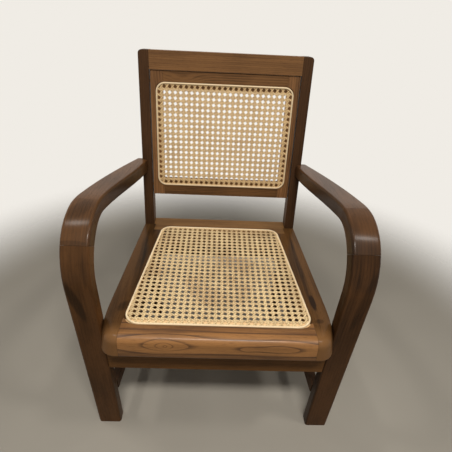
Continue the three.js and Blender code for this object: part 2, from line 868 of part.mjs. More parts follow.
// Rounded section of the board at a station
function boardRing(side, { point, normal, thickness }) {
  const [inner, outer] = armEdges(point.x);
  const corners = [
    [outer, 0, -1, 1, 0],
    [outer, thickness, -1, -1, 1],
    [inner, thickness, 1, -1, 2],
    [inner, 0, 1, 1, 3],
  ];
  const ring = [];
  for (const [x, depth, acrossSign, depthSign, quarter] of corners) {
    const centreX = x + acrossSign * armEdgeRadius;
    const centreDepth = depth + depthSign * armEdgeRadius;
    for (let step = 0; step <= edgeSteps; step += 1) {
      const angle = (Math.PI / 2) * (1 - quarter - step / edgeSteps);
      const depthHere = centreDepth - armEdgeRadius * Math.sin(angle);
      const across = centreX + armEdgeRadius * Math.cos(angle);
      const place = point.clone().addScaledVector(normal, -depthHere);
      ring.push(new THREE.Vector3(side * across, place.x, place.y));
    }
  }
  return ring;
}

// Slides a ring down the leg until it lies on the floor
function ringOnFloor(ring) {
  return ring.map((point) => new THREE.Vector3(point.x, point.y + point.z * leanRun, 0));
}

function stationsBetween(makeStation, first, last, count) {
  const place = (index) => first + ((last - first) * index) / count;
  return Array.from({ length: count + 1 }, (unused, index) => makeStation(place(index)));
}

function armLength() {
  return (armEnd.x - bendStart.x) / Math.cos(armSlope) + armLap;
}

function legLength() {
  return bendStation(1).point.y / Math.cos(legLean);
}

// Frame of a joint between two board pieces: X across, Y along the board, Z out of its outer face
function jointMatrix(side, { point, normal, thickness }) {
  const along = new THREE.Vector3(0, normal.y, -normal.x);
  const out = new THREE.Vector3(0, normal.x, normal.y);
  const [inner, outer] = armEdges(point.x);
  const centre = point.clone().addScaledVector(normal, -thickness / 2);
  const matrix = new THREE.Matrix4().makeBasis(new THREE.Vector3(1, 0, 0), along, out);
  return matrix.setPosition((side * (inner + outer)) / 2, centre.x, centre.y);
}

function looseTenon(side, station, grow) {
  const geometry = new THREE.BoxGeometry(
    looseTenonWidth + 2 * grow,
    looseTenonLength + 2 * grow,
    looseTenonThickness + 2 * grow,
  );
  return movedSolid(geometry, jointMatrix(side, station));
}

function addArm(side, sideName) {
  const gapShare = clearance / 2 / bendLength;
  const armJoint = bendStation(armJointShare);
  const elbowJoint = bendStation(elbowJointShare);
  const ringOf = (station) => boardRing(side, station);

  const armStations = stationsBetween(armStation, armLength(), bendLength / bendSteps, 7);
  armStations.push(...stationsBetween(bendStation, 0, armJointShare - gapShare, 2));
  let arm = loft(armStations.map(ringOf)).subtract(postSolid(side, clearance));
  arm = arm.subtract(looseTenon(side, armJoint, clearance));
  const armScrew = armScrewPlace(side);
  arm = arm.subtract(screwHole(armScrew.start, armScrew.direction));
  addPiece(`armrest_${sideName}`, arm, teak);

  const elbowStations = stationsBetween(bendStation, armJointShare + gapShare, elbowJointShare - gapShare, 9);
  let elbow = loft(elbowStations.map(ringOf)).subtract(looseTenon(side, armJoint, clearance));
  elbow = elbow.subtract(looseTenon(side, elbowJoint, clearance));
  addPiece(`arm_elbow_${sideName}`, elbow, teakLight);

  const legStations = stationsBetween(bendStation, elbowJointShare + gapShare, 1, 5);
  const legRings = legStations.map(ringOf);
  legRings.push(ringOnFloor(ringOf(legStation(legLength()))));
  let leg = loft(legRings).subtract(looseTenon(side, elbowJoint, clearance));
  leg = leg.subtract(frontApronTenon(side, clearance)).subtract(stretcherTenon(side, clearance));
  leg = leg.subtract(legDowelHole(side));
  addPiece(`front_leg_${sideName}`, leg, teak);

  addPiece(`arm_tenon_${sideName}`, looseTenon(side, armJoint, 0), teakLight);
  addPiece(`elbow_tenon_${sideName}`, looseTenon(side, elbowJoint, 0), teakLight);
}

function legFrontLine(z) {
  return footFront - z * leanRun;
}

function legRearLine(z) {
  return legFrontLine(z) + legThickness / Math.cos(legLean);
}

// Front apron between the legs

function frontApronProfile(low, high, near, far) {
  return polygon([
    [legFrontLine(low) + near, low],
    [legFrontLine(high) + near, high],
    [legFrontLine(high) + far, high],
    [legFrontLine(low) + far, low],
  ]);
}

function frontApronTenon(side, grow) {
  const low = seatBottom - frontApronHeight + tenonShoulder - grow;
  const high = seatBottom - tenonShoulder + grow;
  const middle = apronRecess + frontApronThickness / 2;
  const half = tenonThickness / 2 + grow;
  const [lowX, highX] = outward(side, legInner - overrun, legInner + apronTenonLength + grow);
  return slabAcross(frontApronProfile(low, high, middle - half, middle + half), lowX, highX);
}

function addFrontApron() {
  const half = legInner - clearance;
  const low = seatBottom - frontApronHeight;
  const high = seatBottom - clearance;
  const profile = frontApronProfile(low, high, apronRecess, apronRecess + frontApronThickness);
  let solid = slabAcross(profile, -half, half);
  for (const [side] of sides) {
    solid = solid.add(frontApronTenon(side, 0)).subtract(sideApronFrontTenon(side, clearance));
  }
  addPiece('front_apron', solid, teak);
}

// Side aprons under the seat, from the front apron to the posts

const apronTop = seatBottom - clearance;
const apronMiddle = seatBottom - sideApronHeight / 2;

function apronOuter(y) {
  return seatHalfWidth(y) - sideApronInset;
}

// Plan of a side apron or of its tenons, drawn in from the apron's faces
function sideApronPlan(side, near, far, inset) {
  return mirrored(side, [
    [apronOuter(near) - sideApronThickness + inset, near],
    [apronOuter(near) - inset, near],
    [apronOuter(far) - inset, far],
    [apronOuter(far) - sideApronThickness + inset, far],
  ]);
}

function frontApronRear(z) {
  return legFrontLine(z) + apronRecess + frontApronThickness;
}

function sideApronTenonBetween(side, near, far, grow) {
  const inset = (sideApronThickness - tenonThickness) / 2 - grow;
  const plan = sideApronPlan(side, near, far, inset);
  return slabUp(plan, seatBottom - sideApronHeight + tenonShoulder - grow, apronTop - tenonShoulder + grow);
}

function sideApronFrontTenon(side, grow) {
  const face = frontApronRear(apronMiddle);
  return sideApronTenonBetween(side, face - apronTenonLength - grow, face + 2 * overrun, grow);
}

function sideApronRearTenon(side, grow) {
  const face = postLine(apronMiddle);
  return sideApronTenonBetween(side, face - 2 * overrun, face + apronTenonLength + grow, grow);
}

function addSideApron(side, sideName) {
  const low = seatBottom - sideApronHeight;
  const reach = seatFrontWidth / 2;
  const ends = polygon([
    [frontApronRear(low) + clearance, low],
    [postLine(low) - clearance, low],
    [postLine(apronTop) - clearance, apronTop],
    [frontApronRear(apronTop) + clearance, apronTop],
  ]);
  const plank = slabUp(sideApronPlan(side, seatFront, postFront + postDepth, 0), low, apronTop);
  let apron = plank.intersect(slabAcross(ends, -reach, reach));
  apron = apron.add(sideApronFrontTenon(side, 0)).add(sideApronRearTenon(side, 0));
  addPiece(`side_apron_${sideName}`, apron, teakDark);
}

// Side stretchers, which run from a front leg to the outer face of a rear leg

const stretcherTop = stretcherBottom + stretcherHeight;
const stretcherFront = legRearLine(stretcherTop);
const stretcherRear = postLine(stretcherBottom) + postDepth;

function stretcherInner(y) {
  return THREE.MathUtils.mapLinear(y, stretcherFront, stretcherRear, legInner, postOuter - housingDepth);
}

function stretcherPlan(side, near, far, inset) {
  return mirrored(side, [
    [stretcherInner(near) + inset, near],
    [stretcherInner(near) + stretcherThickness - inset, near],
    [stretcherInner(far) + stretcherThickness - inset, far],
    [stretcherInner(far) + inset, far],
  ]);
}

function stretcherTenon(side, grow) {
  const shoulder = (stretcherThickness - tenonThickness) / 2;
  const face = legRearLine(stretcherBottom);
  const plan = stretcherPlan(side, face - tenonLength - grow, face + overrun, shoulder - grow);
  return slabUp(plan, stretcherBottom + shoulder - grow, stretcherTop - shoulder + grow);
}

// The front end follows the rear face of the leg, the rear end follows the rear leg
function addStretcher(side, sideName) {
  const reach = legOuter + overrun;
  const ends = polygon([
    [legRearLine(stretcherBottom) + clearance, stretcherBottom],
    [postLine(stretcherBottom) + postDepth, stretcherBottom],
    [postLine(stretcherTop) + postDepth, stretcherTop],
    [legRearLine(stretcherTop) + clearance, stretcherTop],
  ]);
  const plan = stretcherPlan(side, footFront, stretcherRear + overrun, 0);
  const plank = slabUp(plan, stretcherBottom, stretcherTop);
  const place = stretcherScrewPlace(side);
  let stretcher = plank.intersect(slabAcross(ends, -reach, reach)).subtract(postSolid(side, clearance));
  stretcher = stretcher.add(stretcherTenon(side, 0)).subtract(screwHole(place.start, place.direction));
  addPiece(`side_stretcher_${sideName}`, stretcher, teakDark);
}

function addRearApron() {
  const half = postInner - clearance;
  const middle = rearApronMiddle();
  const near = middle - rearApronThickness / 2;
  const low = seatBottom - rearApronHeight;
  let solid = block(-half, half, near, near + rearApronThickness, low, seatBottom - clearance);
  solid = solid.add(rearApronTenon(-1, 0)).add(rearApronTenon(1, 0));
  addPiece('rear_apron', solid, teakDark);
}

// Corner blocks behind the front apron and before the rear apron, screwed up into the seat

function blockPlan(side, end) {
  if (end === 'front') {
    const near = frontApronRear(seatBottom - blockHeight) + clearance;
    const inner = (y) => apronOuter(y) - sideApronThickness - clearance;
    const far = near + blockLength;
    return [
      [side * inner(near), near],
      [side * (inner(near) - blockLength), near],
      [side * inner(far), far],
    ];
  }
  const far = rearApronMiddle() - rearApronThickness / 2 - clearance;
  const corner = postInner - clearance;
  return [
    [side * corner, far],
    [side * (corner - blockLength), far],
    [side * corner, far - blockLength],
  ];
}

function blockScrewPlace(side, end) {
  const centre = new THREE.Vector2();
  for (const [x, y] of blockPlan(side, end)) {
    centre.add(new THREE.Vector2(x, y).divideScalar(3));
  }
  const start = new THREE.Vector3(centre.x, centre.y, apronTop - blockHeight + screwRecess);
  return { start, direction: new THREE.Vector3(0, 0, 1) };
}

function addCornerBlock(side, sideName, end) {
  const place = blockScrewPlace(side, end);
  const plank = slabUp(polygon(blockPlan(side, end)), apronTop - blockHeight, apronTop);
  const solid = plank.subtract(screwHole(place.start, place.direction));
  addPiece(`corner_block_${end}_${sideName}`, solid, teakLight);
  screw(`block_screw_${end}_${sideName}`, place.start, place.direction);
}

// Screws that go in level from the outside

function armScrewPlace(side) {
  const y = armEnd.x + armLap * armScrewShare;
  const [, outer] = armEdges(y);
  const start = new THREE.Vector3(side * (outer - screwRecess), y, armHeight - armThickness / 2);
  return { start, direction: new THREE.Vector3(-side, 0, 0) };
}

function stretcherScrewPlace(side) {
  const z = (stretcherBottom + stretcherTop) / 2;
  const y = postLine(z) + postDepth * postScrewShare;
  const outer = stretcherInner(y) + stretcherThickness;
  const start = new THREE.Vector3(side * (outer - screwRecess), y, z);
  return { start, direction: new THREE.Vector3(-side, 0, 0) };
}

function addSideScrews(side, sideName) {
  const arm = armScrewPlace(side);
  screw(`arm_screw_${sideName}`, arm.start, arm.direction);
  const stretcher = stretcherScrewPlace(side);
  screw(`stretcher_screw_${sideName}`, stretcher.start, stretcher.direction);
}

const sides = [
  [-1, 'left'],
  [1, 'right'],
];

for (const [side, sideName] of sides) {
  addPost(side, sideName);
  addArm(side, sideName);
  addSideApron(side, sideName);
  addStretcher(side, sideName);
  addSeatDowels(side, sideName);
  addSideScrews(side, sideName);
  for (const end of ['front', 'rear']) {
    addCornerBlock(side, sideName, end);
  }
}
addTopRail();
addPanel();
addCane();
addSeatFrame();
addFrontApron();
addRearApron();

export default chair;
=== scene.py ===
import math

import bmesh
import bpy
import numpy as np
from mathutils import Matrix, Vector
from mathutils.geometry import convex_hull_2d


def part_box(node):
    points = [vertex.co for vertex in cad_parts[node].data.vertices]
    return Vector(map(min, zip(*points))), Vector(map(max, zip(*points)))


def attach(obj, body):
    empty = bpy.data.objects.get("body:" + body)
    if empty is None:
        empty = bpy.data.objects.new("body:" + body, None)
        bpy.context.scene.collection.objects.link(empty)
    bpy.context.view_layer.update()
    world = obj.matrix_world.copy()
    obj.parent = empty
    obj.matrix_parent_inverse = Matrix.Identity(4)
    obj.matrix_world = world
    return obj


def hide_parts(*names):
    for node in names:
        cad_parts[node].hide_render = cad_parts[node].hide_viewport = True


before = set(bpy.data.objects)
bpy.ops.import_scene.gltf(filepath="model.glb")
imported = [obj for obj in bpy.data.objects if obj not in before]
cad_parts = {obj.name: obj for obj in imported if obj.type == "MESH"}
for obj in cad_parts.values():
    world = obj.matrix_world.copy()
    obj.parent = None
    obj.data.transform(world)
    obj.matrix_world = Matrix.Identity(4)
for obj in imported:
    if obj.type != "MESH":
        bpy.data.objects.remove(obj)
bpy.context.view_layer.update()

# Planters chair: teak frame, woven cane seat and back panel, pale beading round both.
# Metres, +Z up. X runs across the chair and its front faces -Y.

scene = bpy.context.scene

# Slopes and radii of the frame
BACK_RECLINE = math.radians(6.1)
ARM_SLOPE = math.radians(8)
LEG_LEAN = math.radians(5.6)
BEND_REACH = 0.166  # from the corner of the arm's and the leg's outer lines to either end of the bend
BEND_EASE = 0.4  # how much tighter the bend is at its middle
BEND_PARTS = 240
NOSE_RADIUS = 0.02
EASED_EDGE = 0.0016
WELD = 0.00001
SHARP_ANGLE = math.radians(38)
NORMAL_WEIGHT = 90

# Waves of tone in the teak for each metre along, across and through the grain
SWAY_WAVES = (2.6, 7, 7)
RIPPLE_WAVES = (9, 60, 60)
FIBRE_WAVES = (16, 520, 520)
STREAK_WAVES = (3, 150, 150)
PORE_WAVES = (70, 1500, 1500)
PATCH_WAVES = (6, 24, 24)
BOARD_SHIFT = (3.7, 1.9, 5.3)  # step in the waves from one board to the next

# Growth rings: where their heart lies across and under the grain, and how far they wander
HEART_ACROSS = 0.012
HEART_DEPTH = 0.03
HEART_SWAY = 0.03
HEART_RIPPLE = 0.55
FLAT_START = 0.3  # this and the next two are in rings, for a flat-cut board
FLAT_SWAY = 0.9
FLAT_RIPPLE = 0.12
RING_END = 0.96  # share of a ring from which its dark part fades
LENS_EASE = 0.08  # rounds the rings off beside the middle of a lens
LENS_GLOW = 0.5
KNOT_GLOW = 1.0

# How much each mark adds to the tone, from the light one to the dark one
RING_WEIGHT = 0.5
FIBRE_WEIGHT = 0.8
STREAK_WEIGHT = 1.1
GLOW_WEIGHT = 0.22
SPOT_SWAY = 1.6
SPOT_RAMP = (0.35, 1.3)
PATCH_RAMP = (0.28, 0.72)
PATCH_LEVEL = 0.22
PATCH_REACH = 0.24
PORE_RAMP = (0.6, 0.72)
PORE_WEIGHT = 0.5
PORE_SHADE = 0.4
BARE_STREAK = 0.6
END_WEIGHT = 0.75
# Painted shade on the faces of the arms, elbows and legs that look in towards the middle of the chair
PAINTED_INNER_SHADE = (0.2, 0.2, 0.2, 1)
FLANK_RANGE = (0.4, 0.9)  # how far a face looks inwards, from no painted shade to full painted shade

# Surface of the teak
FIBRE_ROUGHNESS = 0.22
PORE_ROUGHNESS = 0.2
FIBRE_HEIGHT = 0.5
TEAK_BUMP = (0.22, 0.0002)
COAT_ROUGHNESS = 0.21

# Rattan: waves of tone for each metre along a strand, each half width across it and each strand
PEEL_STREAK_WAVES = (22, 2.2, 31)
STRAND_TONE_WAVES = (0.6, 0, 57)
GROWTH_MARK_WAVES = (34, 0.3, 91)
PEEL_BUMP_WAVES = (40, 5, 31)
RATTAN_BUMP = (0.25, 0.0001)
RATTAN_SHIFT = (2.3, 4.1, 1)
PEEL_STREAK_TONE = 0.5
STRAND_TONE = 0.55
BLOTCH_WAVES = (11, 11, 11)
BLOTCH_RAMP = (0.42, 0.7)
MARK_RAMP = (0.66, 0.8)
# Painted shade where a strand dips under another, and along the edges of each strand
DIP_RAMP = (-1.1, 0.8)  # height of a strand, in lifts of a pair
PAINTED_DIP_SHADE = 0.7
PAINTED_EDGE_SHADE = 0.75
RATTAN_LEVEL = 0.42
RATTAN_ROUGHNESS = 0.33
STREAK_ROUGHNESS = 0.25

# Steel of the screws
TURNING_WAVES = (900, 900, 900)
STEEL_ROUGHNESS = 0.42
TURNING_ROUGHNESS = 0.2
STEEL_METAL = 0.6

# Strip of the front rail seen through the holes of the cane: its depth under the seat, and its width
LEDGE_UNDER = (0.001, 0.012)
LEDGE_SPAN = 0.0185

# Cane
CANE_PITCH = 0.0143
STRAND_WIDTH = 0.0025
STRAND_THICKNESS = 0.001
STRAND_SECTION = [(-1.0, 0.0), (-0.62, 0.8), (0.0, 1.0), (0.62, 0.8), (1.0, 0.0), (0.0, -0.7)]
SHORTEST_STRAND = 0.004
END_STRETCH = 0.0004  # least length between a strand's end and its next stop
END_LIFT = 0.3  # share of its lift that a strand keeps at its ends
PAIR_SPREAD = 0.0014  # from the middle of a pair to either strand
PAIR_LIFT = 0.0007
PAIR_SLOPE = 2.4  # spreads from a crossing to where a strand lies level again
DIAGONAL_WIDTH = 0.0022
DIAGONAL_LIFT = 0.001
SEAT_SAG = 0.004
CANE_UNDER_BEADING = 0.0035
OUTLINE_SIDES = 4

# Beading
BEADING_WIDTH = 0.005
BEADING_PROUD = 0.002
BEADING_DEPTH = 0.0035
BEADING_GAP = 0.0002
BEADING_STEPS = 9
WOOD_FACE = 0.0014  # foot of the beading's round above the middle of the cane
SEAT_BEADING_RADII = (0.034, 0.034, 0.03, 0.03)
BACK_BEADING_RADII = (0.024, 0.024, 0.024, 0.024)
LEAST_RADIUS = 0.001
CORNER_STEPS = 14

random = np.random.default_rng(7)


# Nodes of the materials


def colour(red, green, blue):
    """Linear colour of a tone given in sRGB steps."""
    steps = [value / 255 for value in (red, green, blue)]
    linear = [s / 12.92 if s <= 0.04045 else ((s + 0.055) / 1.055) ** 2.4 for s in steps]
    return (*linear, 1)


class Nodes:
    """Short forms for the nodes of one material."""

    def __init__(self, name):
        self.material = bpy.data.materials.new(name)
        self.material.use_nodes = True
        self.tree = self.material.node_tree
        self.shader = self.tree.nodes["Principled BSDF"]

    def add(self, kind, **values):
        node = self.tree.nodes.new(kind)
        for key, value in values.items():
            setattr(node, key, value)
        return node

    def feed(self, socket, value):
        if isinstance(value, bpy.types.NodeSocket):
            self.tree.links.new(value, socket)
        else:
            socket.default_value = value

    def attribute(self, name, output="Vector"):
        return self.add("ShaderNodeAttribute", attribute_name=name).outputs[output]

    def object_place(self):
        return self.add("ShaderNodeTexCoord").outputs["Object"]

    def split(self, vector):
        node = self.add("ShaderNodeSeparateXYZ")
        self.feed(node.inputs[0], vector)
        return node.outputs

    def math(self, operation, first, second=0.0, clamp=False):
        node = self.add("ShaderNodeMath", operation=operation, use_clamp=clamp)
        self.feed(node.inputs[0], first)
        self.feed(node.inputs[1], second)
        return node.outputs[0]

    def plus(self, first, second, clamp=False):
        return self.math("ADD", first, second, clamp)

    def minus(self, first, second):
        return self.math("SUBTRACT", first, second)

    def times(self, first, second):
        return self.math("MULTIPLY", first, second)

    def over(self, first, second):
        return self.math("DIVIDE", first, second)

    def square(self, value):
        return self.times(value, value)

    def swing(self, noise, reach):
        """A noise round zero."""
        return self.times(self.minus(noise, 0.5), reach)

    def vector(self, operation, first, second):
        node = self.add("ShaderNodeVectorMath", operation=operation)
        self.feed(node.inputs[0], first)
        self.feed(node.inputs[1], second)
        return node.outputs[0]

    def noise(self, place, waves, shift=(0, 0, 0), detail=2.0, roughness=0.5):
        moved = self.vector("ADD", self.vector("MULTIPLY", place, waves), shift)
        node = self.add("ShaderNodeTexNoise", noise_dimensions="3D")
        self.feed(node.inputs["Vector"], moved)
        node.inputs["Scale"].default_value = 1
        node.inputs["Detail"].default_value = detail
        node.inputs["Roughness"].default_value = roughness
        return node.outputs["Fac"]

    def ramp(self, value, low, high, first, last):
        """A smooth step from first to last while the value goes from low to high."""
        node = self.add("ShaderNodeMapRange", interpolation_type="SMOOTHSTEP")
        self.feed(node.inputs["Value"], value)
        for name, number in (("From Min", low), ("From Max", high), ("To Min", first), ("To Max", last)):
            node.inputs[name].default_value = number
        return node.outputs["Result"]

    def mix(self, share, first, second, blend="MIX"):
        node = self.add("ShaderNodeMix", data_type="RGBA", blend_type=blend)
        self.feed(node.inputs["Factor"], share)
        first_colour, second_colour = node.inputs[6:8]
        self.feed(first_colour, first)
        self.feed(second_colour, second)
        return node.outputs[2]

    def bump(self, height, strength, distance, normal=None):
        node = self.add("ShaderNodeBump")
        node.inputs["Strength"].default_value = strength
        node.inputs["Distance"].default_value = distance
        self.feed(node.inputs["Height"], height)
        if normal is not None:
            self.feed(node.inputs["Normal"], normal)
        self.feed(self.shader.inputs["Normal"], node.outputs[0])

    def finish(self, **constants):
        for name, value in constants.items():
            self.shader.inputs[name.replace("_", " ")].default_value = value
        return self.material


def ring_phase(n, across, through, sway, ripple, ring, middle):
    """Count of rings up to a place. They run round a heart, or follow the edges of a flat-cut board."""
    if middle:
        centre, half = middle
        beyond = n.minus(n.math("ABSOLUTE", n.minus(across, centre)), half)
        start = n.plus(n.swing(sway, FLAT_SWAY), FLAT_START)
        phase = n.minus(start, n.over(n.math("MAXIMUM", beyond, 0), ring))
        return n.plus(phase, n.times(ripple, FLAT_RIPPLE))
    depth = n.plus(n.plus(through, HEART_DEPTH), n.swing(sway, HEART_SWAY))
    side = n.minus(across, HEART_ACROSS)
    radius = n.math("SQRT", n.plus(n.square(side), n.square(depth)))
    return n.plus(n.over(radius, ring), n.times(ripple, HEART_RIPPLE))


def lens_hump(n, first, second):
    """One at its middle, drawn out along the grain either way."""
    drawn_out = n.math("SQRT", n.plus(n.square(first), LENS_EASE))
    away = n.plus(drawn_out, n.square(second))
    return n.math("POWER", math.e, n.minus(math.sqrt(LENS_EASE), away))


def knot_hump(n, first, second):
    """One at its middle, round."""
    away = n.plus(n.square(first), n.square(second))
    return n.math("POWER", math.e, n.times(away, -1))


def spot_tone(n, along, across, sway, tone_spot):
    centre, level, reach, spread, slant, amount = tone_spot
    first = n.minus(along, centre)
    second = n.minus(n.minus(across, level), n.times(first, slant))
    away = n.plus(n.square(n.over(first, reach)), n.square(n.over(second, spread)))
    away = n.plus(away, n.swing(sway, SPOT_SWAY))
    return n.times(n.ramp(away, *SPOT_RAMP, 1.0, 0.0), amount)


def wood(name, light, dark, seed, in_grain=True, ring=0.0046, middle=None, lenses=(), knots=(),
         line=(0.4, 0.92), rings=1.0, streaks=1.0, mottle=1.0, tone_spots=(), tone_across=None, bare=None, end=None,
         painted_inner_shade=0.0, rough=0.3, gloss=0.05, shine=0.2):
    """Teak with growth rings, fibres, pores and slow changes of tone.

    ring: width of a growth ring; middle: centre line and half width of a flat-cut board's inmost ring
    lenses, knots: swellings of the rings, as (along, across, reach, spread, rings)
    line: part of each ring that turns dark; rings, streaks, mottle: strength of these marks
    tone_spots: darker or, below zero, lighter places, as (along, across, reach, spread, slant, amount)
    tone_across: tone that comes in across the board, as (from, to, first, last)
    bare: the two tones of the strip beside the cane; end: tint that fades out along the grain
    painted_inner_shade: strength of the painted shade on the inner side; rough, gloss, shine: roughness,
    coat and specular level
    """
    n = Nodes(name)
    grain = n.attribute("grain") if in_grain else n.object_place()
    shift = tuple(seed * step for step in BOARD_SHIFT)
    along, across, through = n.split(grain)
    sway = n.noise(grain, SWAY_WAVES, shift)
    ripple = n.noise(grain, RIPPLE_WAVES, shift)
    phase = ring_phase(n, across, through, sway, ripple, ring, middle)
    glow = 0.0
    for swellings, hump_at, hump_glow in ((lenses, lens_hump, LENS_GLOW), (knots, knot_hump, KNOT_GLOW)):
        for centre, level, reach, spread, count in swellings:
            hump = hump_at(n, n.over(n.minus(along, centre), reach), n.over(n.minus(across, level), spread))
            phase = n.plus(phase, n.times(hump, count))
            glow = n.plus(glow, n.times(hump, hump_glow))
    saw = n.math("FRACT", phase)
    late = n.times(n.ramp(saw, *line, 0.0, 1.0), n.ramp(saw, RING_END, 1.0, 1.0, 0.0))
    fibre = n.noise(grain, FIBRE_WAVES, shift, 3.0, 0.65)
    streak = n.noise(grain, STREAK_WAVES, shift, 2.0, 0.6)
    pore = n.ramp(n.noise(grain, PORE_WAVES, shift, 1.0), *PORE_RAMP, 0.0, 1.0)
    patch = n.noise(grain, PATCH_WAVES, shift, 3.0)

    tone = n.times(late, RING_WEIGHT * rings)
    tone = n.plus(tone, n.swing(fibre, FIBRE_WEIGHT))
    tone = n.plus(tone, n.swing(streak, STREAK_WEIGHT * streaks))
    tone = n.minus(tone, n.times(glow, GLOW_WEIGHT))
    for tone_spot in tone_spots:
        tone = n.plus(tone, spot_tone(n, along, across, sway, tone_spot))
    # Tone that changes across the board; on the front apron it is painted shade under the seat's overhang
    if tone_across:
        tone = n.plus(tone, n.ramp(across, *tone_across))
    reach = PATCH_REACH * mottle
    tone = n.plus(tone, n.ramp(patch, *PATCH_RAMP, PATCH_LEVEL - reach, PATCH_LEVEL + reach), clamp=True)

    base = n.mix(tone, light, dark)
    base = n.mix(n.times(pore, PORE_WEIGHT), base, (*(PORE_SHADE * value for value in dark[:3]), 1))
    if bare:
        base = n.mix(n.attribute("bare", "Fac"), base, n.mix(n.times(streak, BARE_STREAK), *bare))
    if end:
        start, stop, tint = end
        base = n.mix(n.ramp(along, start, stop, END_WEIGHT, 0.0), base, tint)
    # Painted shade on the faces that look inwards
    if painted_inner_shade:
        base = n.mix(n.times(n.attribute("painted_inner_shade", "Fac"), painted_inner_shade), base, PAINTED_INNER_SHADE, blend="MULTIPLY")
    n.feed(n.shader.inputs["Base Color"], base)
    dull = n.plus(n.times(fibre, FIBRE_ROUGHNESS), n.times(pore, PORE_ROUGHNESS))
    n.feed(n.shader.inputs["Roughness"], n.plus(dull, rough))
    rounded_edge = None
    if in_grain:
        bevel = n.add("ShaderNodeBevel", samples=4)
        bevel.inputs["Radius"].default_value = EASED_EDGE
        rounded_edge = bevel.outputs[0]
    n.bump(n.minus(n.times(fibre, FIBRE_HEIGHT), pore), *TEAK_BUMP, rounded_edge)
    return n.finish(Coat_Weight=gloss, Coat_Roughness=COAT_ROUGHNESS, Specular_IOR_Level=shine)


def rattan(name, light, dark, seed, marks=0.35, blotches=0.22):
    """Peel of rattan: tone by strand, streaks along it, darker growth marks, and painted shade along the
    strands' edges and where a strand dips under another.
    """
    n = Nodes(name)
    strand = n.attribute("strand")
    shift = tuple(seed * step for step in RATTAN_SHIFT)
    across = n.split(strand)[1]
    streak = n.noise(strand, PEEL_STREAK_WAVES, shift, 3.0, 0.6)
    each = n.noise(strand, STRAND_TONE_WAVES, shift, 1.0)
    mark = n.ramp(n.noise(strand, GROWTH_MARK_WAVES, shift, 1.0), *MARK_RAMP, 0.0, marks)
    # Painted shade along each strand's edges and where it dips low under another strand
    edge = n.times(n.square(n.square(across)), PAINTED_EDGE_SHADE)
    dip_shade = n.ramp(n.split(n.attribute("rise"))[0], *DIP_RAMP, PAINTED_DIP_SHADE, 0.0)
    blotch = n.ramp(n.noise(n.object_place(), BLOTCH_WAVES, shift), *BLOTCH_RAMP, 0.0, blotches)
    tone = n.plus(n.times(streak, PEEL_STREAK_TONE), n.times(each, STRAND_TONE))
    tone = n.plus(tone, n.minus(blotch, RATTAN_LEVEL))
    tone = n.plus(tone, dip_shade)
    tone = n.plus(tone, n.plus(mark, edge), clamp=True)
    n.feed(n.shader.inputs["Base Color"], n.mix(tone, light, dark))
    n.feed(n.shader.inputs["Roughness"], n.plus(n.times(streak, STREAK_ROUGHNESS), RATTAN_ROUGHNESS))
    n.bump(n.noise(strand, PEEL_BUMP_WAVES, shift), *RATTAN_BUMP)
    return n.finish()


def steel(name):
    """Darkened screw steel with fine turning marks."""
    n = Nodes(name)
    marks = n.noise(n.object_place(), TURNING_WAVES)
    n.feed(n.shader.inputs["Base Color"], n.mix(marks, colour(58, 48, 38), colour(84, 70, 56)))
    n.feed(n.shader.inputs["Roughness"], n.plus(n.times(marks, TURNING_ROUGHNESS), STEEL_ROUGHNESS))
    return n.finish(Metallic=STEEL_METAL)


# Grain of each board: metres along it, across its face and down through it

front_low, front_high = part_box("seat_front_rail")
SEAT_TOP = front_high.z
SEAT_FRONT = front_low.y


def grain_along_x(points):
    return np.stack([points[:, 0], points[:, 2], -points[:, 1]], 1)


def grain_along_y(points):
    return np.stack([points[:, 1], points[:, 0], points[:, 2]], 1)


def grain_on_nose(points):
    """Across the top of the front rail and on down over its round nose."""
    back = points[:, 1] - SEAT_FRONT
    down = SEAT_TOP - points[:, 2]
    quarter = NOSE_RADIUS * np.pi / 4
    angle = np.arctan2(np.maximum(NOSE_RADIUS - down, 0), np.maximum(NOSE_RADIUS - back, 0))
    on_top = np.maximum(back - NOSE_RADIUS, 0) + quarter
    below = np.maximum(down - NOSE_RADIUS, 0) + quarter
    turned = NOSE_RADIUS * (np.pi / 4 - angle)
    span = np.where(back > NOSE_RADIUS, -on_top, np.where(down > NOSE_RADIUS, below, turned))
    return np.stack([points[:, 0], span, -np.minimum(back, down)], 1)


def grain_up(points):
    lean = np.maximum(points[:, 2] - SEAT_TOP, 0) * math.tan(BACK_RECLINE)
    return np.stack([points[:, 2], points[:, 0], points[:, 1] - lean], 1)


def bend_path():
    """Outer line of arm, bend and leg in Y and Z, with its outward directions and its length so far."""
    arm = mesh_points("armrest_left")
    rear = arm[arm[:, 1].argmax(), 1:]
    leg = mesh_points("front_leg_left")
    foot = leg[leg[:, 2] < WELD][:, 1].min()
    rise, run = math.tan(ARM_SLOPE), math.tan(LEG_LEAN)
    corner_y = (foot - run * (rear[1] + rear[0] * rise)) / (1 - run * rise)
    corner = np.array([corner_y, rear[1] + (rear[0] - corner_y) * rise])
    turn = math.pi / 2 + ARM_SLOPE + LEG_LEAN
    middles = (np.arange(BEND_PARTS) + 0.5) / BEND_PARTS
    turned = turn * (middles - BEND_EASE * np.sin(2 * np.pi * middles) / (2 * np.pi))
    length = 2 * BEND_REACH * math.cos(turn / 2) / np.cos(turned - turn / 2).mean()
    angles = math.pi / 2 - ARM_SLOPE + turned
    onward = np.stack([-np.sin(angles), np.cos(angles)], 1)
    start = corner + BEND_REACH * np.array([math.cos(ARM_SLOPE), -math.sin(ARM_SLOPE)])
    places = start + np.cumsum(onward, 0) * length / BEND_PARTS
    normals = np.stack([np.cos(angles), np.sin(angles)], 1)
    return places, normals, length * middles


